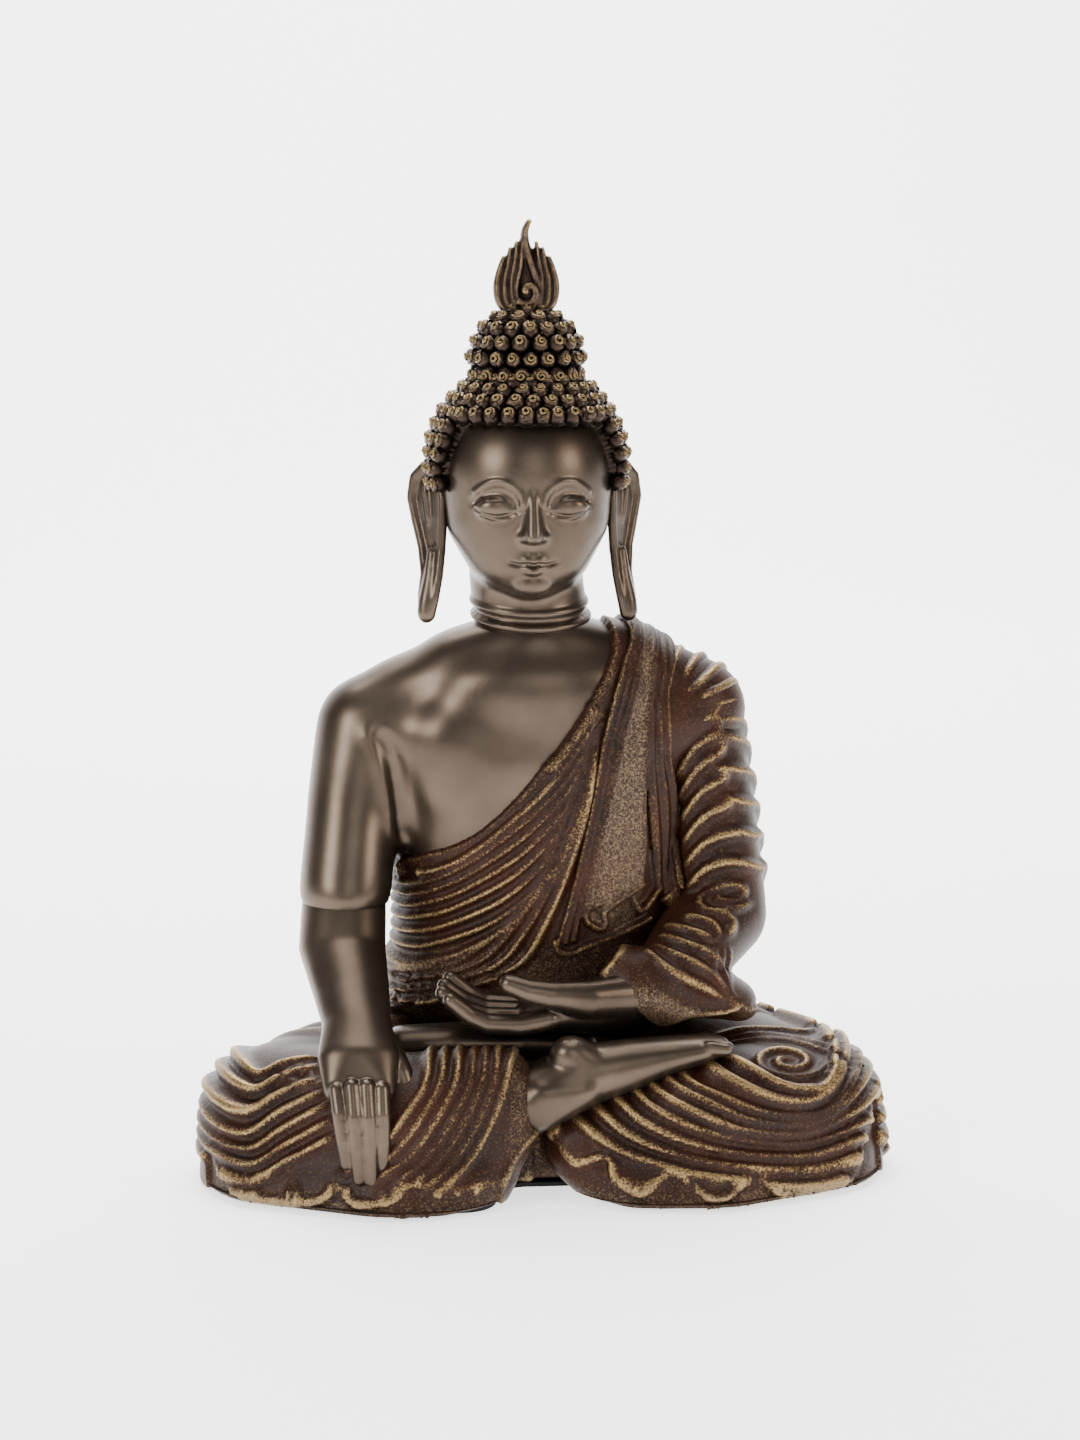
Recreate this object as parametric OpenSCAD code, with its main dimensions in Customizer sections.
// Seated Buddha figure, earth-touching pose: a table-top statue cast in sections that are pinned and glued.
// The figure faces -Y, +X is the figure's own left, and the felt underside lies on z = 0.

/* [Overall] */
// Height from the felt to the tip of the flame
statue_h = 330; // [329:1:331]
// Width across both knees
knee_span = 238; // [236:1:240]
// Depth from the front of the shins to the back of the seat
seat_depth = 132; // [131:1:133]

/* [Castings] */
// How far the hollow keeps from the edge of the ground outline
wall = 14; // [13:1:18]
// Glue line left between two castings
glue_gap = 0.2; // [0.1:0.05:0.3]
// How far the robe stands out from the bare body
robe_t = 1.5; // [1:0.25:2]
// How far the shoulder sash stands out from the robe
sash_t = 3; // [2:0.5:4]
// Radius of the arc that the robe's neckline follows, seen from the front
neckline_r = 71; // [70:0.5:72]

/* [Base] */
// Thickness of the felt under the base
felt_t = 1.5; // [1:0.5:2]
// Thickness of the plate that closes the hollow
plate_t = 3; // [3:0.5:4]
/* [Finial] */
// Radius of the tenon under the flame
tenon_r = 3.5; // [3:0.25:4]
// Length of the tenon
tenon_l = 12; // [10:1:13]
// Radial clearance of the tenon in the crown
running_gap = 0.06; // [0.04:0.01:0.08]

/* [Pins] */
// Radius of the steel pin in the neck
neck_pin_r = 4; // [3:0.5:5]
// Radius of the pins between the robe, the chest and the lap
pin_r = 2.5; // [2:0.5:3]
// Radius of the stub on the forearm that plugs into the upper arm
stub_r = 8; // [6:1:9]

/* [Hidden] */

// colours
bare = "#74665a";
cloth = "#3f2620";
gilt = "#8a7350";
steel = "#b4b6b8";
brass_c = "#b3924b";
black = "#1d1b1a";

// facets on the rounded masses, the limbs and the fingers
mass_fn = 24;
limb_fn = 18;
digit_fn = 12;
far = 400;          // reach of a cutting block

// levels and centres
floor_z = felt_t;                       // underside of the castings
knee_r = 29;
knee_x = knee_span / 2 - knee_r;        // centre of each knee
back_y = seat_depth / 2;
head_x = -3;                            // the head sits a little to the figure's right
head_y = 14;
skull_r = 31;
skull_z = statue_h - 87;                // centre of the skull
seat_z = statue_h - 32;               // flat seat of the flame on the crown
neck_z = 181;                           // joint under the lowest neck ring
elbow_z = 94;                           // joint at the right elbow
neckline_x = -50;                       // centre of the neckline's arc
neckline_z = 186;
seat_level = 50;                        // flat on which the torso stands
seat_at = [2, 26];
seat_r = [53, 36.5];                    // the torso's seat is an ellipse
arm_split_x = -50.5;                    // plane between the flank and the hanging arm

function grown(r, g) = [r[0] + g, r[1] + g, r[2] + g];

module blob(at, r, g = 0, fn = mass_fn) {
    translate(at) scale(grown(r, g)) sphere(1, $fn = fn);
}

// A limb: the hull round two blobs.
module limb(a, ra, b, rb, g = 0, fn = limb_fn) {
    hull() {
        blob(a, ra, g, fn);
        blob(b, rb, g, fn);
    }
}

// A flat disc on the ground, which squares off the foot of a mass.
module ground_disc(at, r, g = 0) {
    translate([at[0], at[1], floor_z]) scale([r[0] + g, r[1] + g, 1]) cylinder(r = 1, h = 3, $fn = mass_fn);
}

// ---------- masses: outer shapes, each grown by g ----------

module knee(side, g) {
    blob([side * knee_x, -8, 21], [knee_r, 33, 26], g);
    ground_disc([side * (knee_x - 1), -10], [24, 30], g);
}

module hip(side, g) {
    blob([side * 36, back_y - 32, 32], [34, 32, 30], g);
    ground_disc([side * 34, back_y - 34], [30, 28], g);
}

module shin_right(g) {
    blob([-48, -35, 27], [26, 27, 25], g);
    blob([-16, -42, 34], [13, 16, 21], g);
    ground_disc([-50, -39], [30, 24], g);
}

module shin_left(g) {
    blob([46, -33, 25], [28, 27, 22], g);
    blob([14, -38, 20], [16, 15, 16], g);
    ground_disc([46, -37], [32, 25], g);
}

module lap_mass(g = 0) {
    intersection() {
        union() {
            hull() { hip(-1, g); hip(1, g); }                           // seat
            for (side = [-1, 1]) hull() { knee(side, g); hip(side, g); }    // thighs
            hull() { knee(-1, g); shin_right(g); }
            hull() { knee(1, g); shin_left(g); }
            blob([0, 0, 26], [44, 34, 24], g);                          // the lap between the thighs
            translate([0, -4, 0]) scale([40 + g, 30 + g, 1]) cylinder(r = 1, h = 24, $fn = 64);
        }
        translate([-far, -far, floor_z - g]) cube([2 * far, 2 * far, far]);
    }
}

// The room that the torso takes above its seat.
module seat_column(g = 0) {
    translate([seat_at[0], seat_at[1], seat_level - g]) scale([seat_r[0] + g, seat_r[1] + g, 1])
        cylinder(r = 1, h = far, $fn = 64);
}

module torso_mass(g = 0) {
    hull() { blob([2, 26, 60], [50, 33, 18], g); blob([2, 24, 74], [49, 30, 6], g); }         // folds at the waist
    hull() { blob([1, 23, 70], [47, 28, 14], g); blob([0, 20, 108], [47, 27, 14], g); }       // belly
    hull() { blob([0, 20, 108], [47, 27, 14], g); blob([0, 20, 148], [53, 28, 20], g); }      // chest
    hull() { blob([-59, 21, 157], [17, 17, 16], g); blob([53, 21, 160], [18, 17, 16], g);
             blob([0, 20, 150], [42, 28, 20], g); }                                           // shoulders
    hull() { blob([-3, 17, 181], [21, 19, 5], g); blob([-44, 21, 166], [14, 13, 10], g);
             blob([38, 21, 167], [14, 13, 10], g); }                                          // slope to the neck
}

module upper_arm_mass(g = 0) {
    limb([-59, 21, 157], [17, 17, 16], [-65, 15, 126], [14.5, 16, 14], g);
    limb([-65, 15, 126], [14.5, 16, 14], [-68, 4, 94], [15.5, 16, 12], g);
}

module neck_mass(g = 0) {
    translate([head_x + 3, head_y, neck_z - g]) cylinder(r1 = 21 + g, r2 = 19 + g, h = 26 + 2 * g, $fn = 48);
}

module sleeve_mass(g = 0) {
    limb([55, 21, 160], [19, 18, 17], [63, 21, 130], [16, 19, 15], g);              // upper arm
    limb([63, 21, 130], [16, 19, 15], [66, 15, 90], [17, 21, 16], g);
    limb([66, 13, 86], [17, 21, 17], [44, -20, 70], [13, 15, 12], g);               // forearm
    hull() {                                                                        // mouth of the sleeve, which hangs
        blob([44, -20, 70], [13, 15, 12], g, limb_fn);
        blob([34, -24, 64], [9, 12, 12], g, limb_fn);
        blob([61, -14, 57], [15, 18, 8], g, limb_fn);
    }
}

// Seen from the front: the outline of the folded sash on the left shoulder.
module sash_slab(g = 0) {
    rotate([90, 0, 0]) linear_extrude(2 * far, center = true)
        offset(delta = g) polygon([[24, 200], [54, 200], [54, 120], [48, 92], [32, 84], [8, 80], [20, 130], [23, 160]]);
}

module neckline(g = 0) {
    translate([neckline_x, 0, neckline_z]) rotate([90, 0, 0])
        cylinder(r = neckline_r + g, h = 2 * far, center = true, $fn = 96);
}

// ---------- digits ----------

// A finger of three bones through four points, thinner towards the tip.
module finger(points, r, g = 0) {
    for (i = [0 : len(points) - 2])
        limb(points[i], [1, 1, 1] * (r - 0.25 * i), points[i + 1], [1, 1, 1] * (r - 0.25 * (i + 1)), g, digit_fn);
}

module right_hand_mass(g = 0) {
    limb([-68, 2, 90], [14.5, 15, 8], [-68, -9, 76], [14, 13.5, 10], g);               // forearm
    limb([-68, -9, 76], [14, 13.5, 10], [-65, -32, 62], [11, 9, 8], g);
    limb([-65, -32, 62], [11, 9, 8], [-65, -48, 50], [13.5, 7, 8], g);                // back of the hand
    hull() {
        blob([-65, -48, 50], [13.5, 7, 8], g, limb_fn);
        blob([-73, -55, 41], [4, 4, 4], g, limb_fn);
        blob([-58, -56, 41], [4, 4, 4], g, limb_fn);
    }
    for (i = [0 : 3]) {                                                               // little finger to forefinger
        root = [-74 + 5.6 * i, -57 - 0.8 * sin(60 * i), 40 + 1.2 * sin(60 * i)];
        tip = [-70.5 + 4.4 * i, -60.4, 18 - 3.5 * sin(60 * i)];
        finger([root, root + [0.6 - 0.3 * i, -2.2, -11], (root + 3 * tip) / 4 + [0, -1.4, 0], tip], 3.4, g);
    }
    finger([[-56, -40, 53], [-50, -46, 46], [-48.5, -50, 37], [-49, -53, 31]], 4.2, g);    // thumb
}

module left_hand_mass(g = 0) {
    limb([49, -15, 72], [9, 9, 9], [28, -24, 63], [8, 9, 8], g);                        // forearm in the sleeve
    limb([28, -24, 63], [8, 9, 8], [12, -25, 61], [10, 12, 6.5], g);                   // palm
    limb([12, -25, 61], [10, 12, 6.5], [-4, -25, 60], [5, 12, 4.2], g);
    for (i = [0 : 3]) {                                                               // forefinger to little finger
        y = -33 + 5.6 * i;
        reach = -36 + 2.6 * abs(i - 1.2);
        finger([[-5, y, 60.5], [-17, y, 59], [reach + 7, y + 0.3 * i, 61], [reach, y + 0.3 * i, 66]], 3.5, g);
    }
    finger([[16, -34, 64], [4, -38, 68], [-7, -37, 71], [-17, -35, 72]], 4.2, g);          // thumb
}

module right_foot_mass(g = 0) {
    limb([-8, -40, 36], [10, 13, 13], [10, -43, 40], [9, 11, 11], g);                   // ankle
    limb([6, -43, 49], [7, 8, 7], [11, -42, 43], [8, 9, 9], g);                         // heel
    limb([12, -43, 43], [9, 10, 9.5], [34, -41, 47], [9, 9, 7], g);
    limb([34, -41, 47], [9, 9, 7], [53, -38, 50], [6, 8.5, 4.5], g);
    limb([50, -38, 50], [6, 8.5, 4.5], [58, -37, 50.5], [3.5, 7, 3.5], g);
}

module left_foot_mass(g = 0) {
    limb([-44, -15, 49], [8, 8, 6], [-16, -18, 48], [10, 9, 6], g);
    limb([-16, -18, 48], [10, 9, 6], [8, -16, 46], [10, 9, 6], g);
}

module jaw_mass(g = 0) {
    hull() {
        blob([head_x, head_y, skull_z], [skull_r - 1, skull_r, skull_r - 1], g);
        blob([head_x, head_y - 13, skull_z - 27], [19, 19, 15], g);
    }
    limb([head_x, head_y - 30, skull_z - 8], [2.5, 4, 3], [head_x, head_y - 33.5, skull_z - 19], [4.5, 4.5, 3.5], g, digit_fn);
}

module ear_mass(side, g = 0) {
    x = head_x + side * 34.5;
    limb([x + side * 1.5, head_y + 3, skull_z - 3], [3, 8, 7], [x, head_y, skull_z - 16], [2.5, 6.5, 8], g, digit_fn);
    limb([x, head_y, skull_z - 16], [2.5, 6.5, 8], [x - side * 3, head_y - 4, skull_z - 41], [3.5, 5, 6.5], g, digit_fn);
}

// ---------- pins ----------

// A pin lies from a to b; its hole is wider by the glue gap.
module pin(a, b, r, g = 0) {
    d = b - a;
    l = norm(d);
    translate(a) rotate([0, acos(d[2] / l), atan2(d[1], d[0])])
        translate([0, 0, -g]) cylinder(r = r + g, h = l + 2 * g, $fn = 48);
}

module neck_pin_at(g = 0) pin([head_x + 3, head_y, neck_z - 16], [head_x + 3, head_y, neck_z + 20], neck_pin_r, g);

module chest_pins_at(g = 0) {
    pin([-26, 22, 112], [-26, 22, 134], pin_r, g);
    pin([12, 22, 140], [12, 22, 168], pin_r, g);
}

module waist_pins_at(g = 0)
    for (side = [-1, 1]) pin([2 + side * 38, 26, 40], [2 + side * 38, 26, 64], pin_r, g);

// ---------- base ----------

screw_at = [[-60, 24], [60, 24], [-64, -22], [64, -22]];
boss_r = 7;
insert_r = 2.6;
insert_l = 8;
screw_r = 1.5;
screw_l = 9;
head_r = 3;
head_h = 1.8;
plate_top = floor_z + plate_t;

// The ground outline of the lap, drawn in by inset.
half_outline = [[0, -34], [14, -34], [20, -62], [56, -62], [102, -40], [115, -24], [115, 0], [46, 60], [0, 60]];

module footprint(inset) {
    offset(delta = -inset) offset(r = -8) offset(r = 8) offset(r = 14) offset(delta = -14)
        for (side = [0, 1]) mirror([side, 0]) polygon(half_outline);
}

module screw_holes(r) for (p = screw_at) translate(p) circle(r, $fn = 32);

// The closed hollow: a wide pocket in the lap and a shaft up the torso.
module hollow() {
    translate([0, 0, floor_z + plate_t / 2]) linear_extrude(22) footprint(wall);
    translate([0, 22, floor_z + plate_t]) scale([28, 14, 1]) cylinder(r = 1, h = 104, $fn = 64);
}

// ---------- the sub-parts ----------

module felt_pad() color(black) linear_extrude(felt_t) footprint(2);

module base_plate() color(black)
    difference() {
        translate([0, 0, floor_z]) linear_extrude(plate_t) difference() {
            footprint(7);
            screw_holes(screw_r + 0.2);
        }
        for (p = screw_at) translate([p[0], p[1], floor_z])
            cylinder(r1 = head_r + 0.1, r2 = screw_r + 0.1, h = head_h, $fn = 32);
    }

module base_screws() color(steel)
    for (p = screw_at) translate([p[0], p[1], floor_z]) difference() {
        union() {
            cylinder(r1 = head_r, r2 = screw_r, h = head_h, $fn = 32);
            cylinder(r = screw_r, h = screw_l, $fn = 32);
        }
        for (turn = [0, 90]) rotate(turn) translate([-1.6, -0.3, -0.1]) cube([3.2, 0.6, 0.9]);
    }

module screw_inserts() color(brass_c)
    for (p = screw_at) translate([p[0], p[1], plate_top + glue_gap]) difference() {
        cylinder(r = insert_r, h = insert_l, $fn = 32);
        translate([0, 0, -1]) cylinder(r = screw_r + 0.05, h = insert_l + 2, $fn = 32);
    }

module lap_casting() color(cloth)
    difference() {
        lap_mass();
        difference() {
            hollow();
            for (p = screw_at) translate([p[0], p[1], plate_top]) cylinder(r = boss_r, h = far, $fn = 32);
        }
        translate([0, 0, floor_z - 1]) linear_extrude(plate_t + 1 + glue_gap / 2) footprint(7 - glue_gap);
        for (p = screw_at) translate([p[0], p[1], plate_top])
            cylinder(r = insert_r + glue_gap, h = insert_l + 2 * glue_gap + 1, $fn = 32);
        seat_column(glue_gap);
        waist_pins_at(glue_gap);
    }

// Everything to the right of the flank and above the elbow.
module arm_side(g = 0)
    translate([arm_split_x - far + g, -far, elbow_z]) cube([far, 2 * far, far]);

module torso_robe() color(cloth)
    difference() {
        torso_mass(robe_t);
        neckline();
        arm_side(glue_gap);
        translate([-far, -far, seat_level - far]) cube([2 * far, 2 * far, far]);
        hollow();
        chest_pins_at(glue_gap);
        waist_pins_at(glue_gap);
    }

module chest_casting() color(bare)
    difference() {
        intersection() {
            union() {
                torso_mass();
                upper_arm_mass();
            }
            union() {
                neckline(-glue_gap);
                arm_side();
            }
        }
        translate([head_x + 3, head_y, neck_z - glue_gap]) cylinder(r = 22, h = far, $fn = 64);
        translate([-68, 3, elbow_z - 1]) cylinder(r = stub_r + glue_gap, h = 17, $fn = 48);
        neck_pin_at(glue_gap);
        chest_pins_at(glue_gap);
    }

module shoulder_sash() color(cloth)
    difference() {
        intersection() { torso_mass(robe_t + sash_t); sash_slab(); }
        torso_mass(robe_t + glue_gap);
        neck_mass(1);
        left_hand_mass(glue_gap);
    }

module left_sleeve() color(cloth)
    difference() {
        sleeve_mass();
        torso_mass(robe_t + glue_gap);
        intersection() { torso_mass(robe_t + sash_t + glue_gap); sash_slab(glue_gap); }
        lap_mass(glue_gap);
        left_hand_mass(glue_gap);
        right_foot_mass(glue_gap);
    }

module left_hand() color(bare)
    difference() {
        left_hand_mass();
        lap_mass(2 * glue_gap);
    }

module right_forearm() color(bare)
    difference() {
        union() {
            difference() {
                right_hand_mass();
                translate([-far, -far, elbow_z - glue_gap]) cube([2 * far, 2 * far, far]);
            }
            translate([-68, 3, elbow_z - 8]) cylinder(r = stub_r, h = 22, $fn = 48);
        }
        lap_mass(glue_gap);
    }

module right_foot() color(bare)
    difference() {
        right_foot_mass();
        lap_mass(2 * glue_gap);
        left_hand_mass(glue_gap);
    }

module left_foot() color(bare)
    difference() {
        left_foot_mass();
        lap_mass(2 * glue_gap);
        left_hand_mass(glue_gap);
        torso_mass(robe_t + glue_gap);
        right_foot_mass(glue_gap);
    }

module head_casting() color(bare)
    difference() {
        union() {
            jaw_mass();
            neck_mass();
        }
        neck_pin_at(glue_gap);
    }

module ear(side) color(bare)
    difference() {
        ear_mass(side);
        jaw_mass(glue_gap);
        hair_shell(glue_gap);
    }

module right_ear() ear(-1);
module left_ear() ear(1);

cap_t = 3;
crown_r = 20;
crown_z = skull_z + 34;

// The hair: a round shell on the skull with the crown's raised knot on top.
module hair_shell(g = 0) {
    translate([head_x, head_y, 0]) difference() {
        rotate_extrude($fn = 64) intersection() {
            difference() {
                union() {
                    translate([0, skull_z]) circle(skull_r + cap_t + g, $fn = 96);
                    translate([0, crown_z]) circle(crown_r + g, $fn = 96);
                }
                translate([0, skull_z]) circle(skull_r + glue_gap - g, $fn = 96);
            }
            translate([0, skull_z - 60]) square([60, seat_z - skull_z + 60]);
        }
        translate([0, 0, skull_z - 8]) rotate([40, 0, 0]) translate([-far, -far, -2 * far - g])
            cube([2 * far, 2 * far, 2 * far]);
    }
}

module hair_cap() color(gilt)
    difference() {
        hair_shell();
        jaw_mass(glue_gap);
        translate([head_x, head_y, seat_z - tenon_l - 1]) cylinder(r = tenon_r, h = tenon_l + 2, $fn = 48);
    }

module flame_finial() color(gilt)
    union() {
        hull() {
            translate([head_x, head_y, seat_z]) cylinder(r = 8, h = 1, $fn = 32);
            blob([head_x, head_y, seat_z + 12], [11, 7.5, 9], 0);
            blob([head_x - 1, head_y, seat_z + 22], [7, 4.5, 5], 0, limb_fn);
        }
        hull() {
            blob([head_x - 1, head_y, seat_z + 22], [5, 3.5, 5], 0, limb_fn);
            blob([head_x - 1, head_y, statue_h - 1], [1, 1, 1], 0, digit_fn);
        }
        translate([head_x, head_y, seat_z - tenon_l]) cylinder(r = tenon_r - running_gap, h = tenon_l + 1, $fn = 48);
    }

module neck_pin() color(steel) neck_pin_at();
module chest_pins() color(steel) chest_pins_at();
module waist_pins() color(steel) waist_pins_at();

felt_pad();
base_plate();
base_screws();
screw_inserts();
lap_casting();
torso_robe();
chest_casting();
shoulder_sash();
left_sleeve();
left_hand();
right_forearm();
right_foot();
left_foot();
head_casting();
right_ear();
left_ear();
hair_cap();
flame_finial();
neck_pin();
chest_pins();
waist_pins();
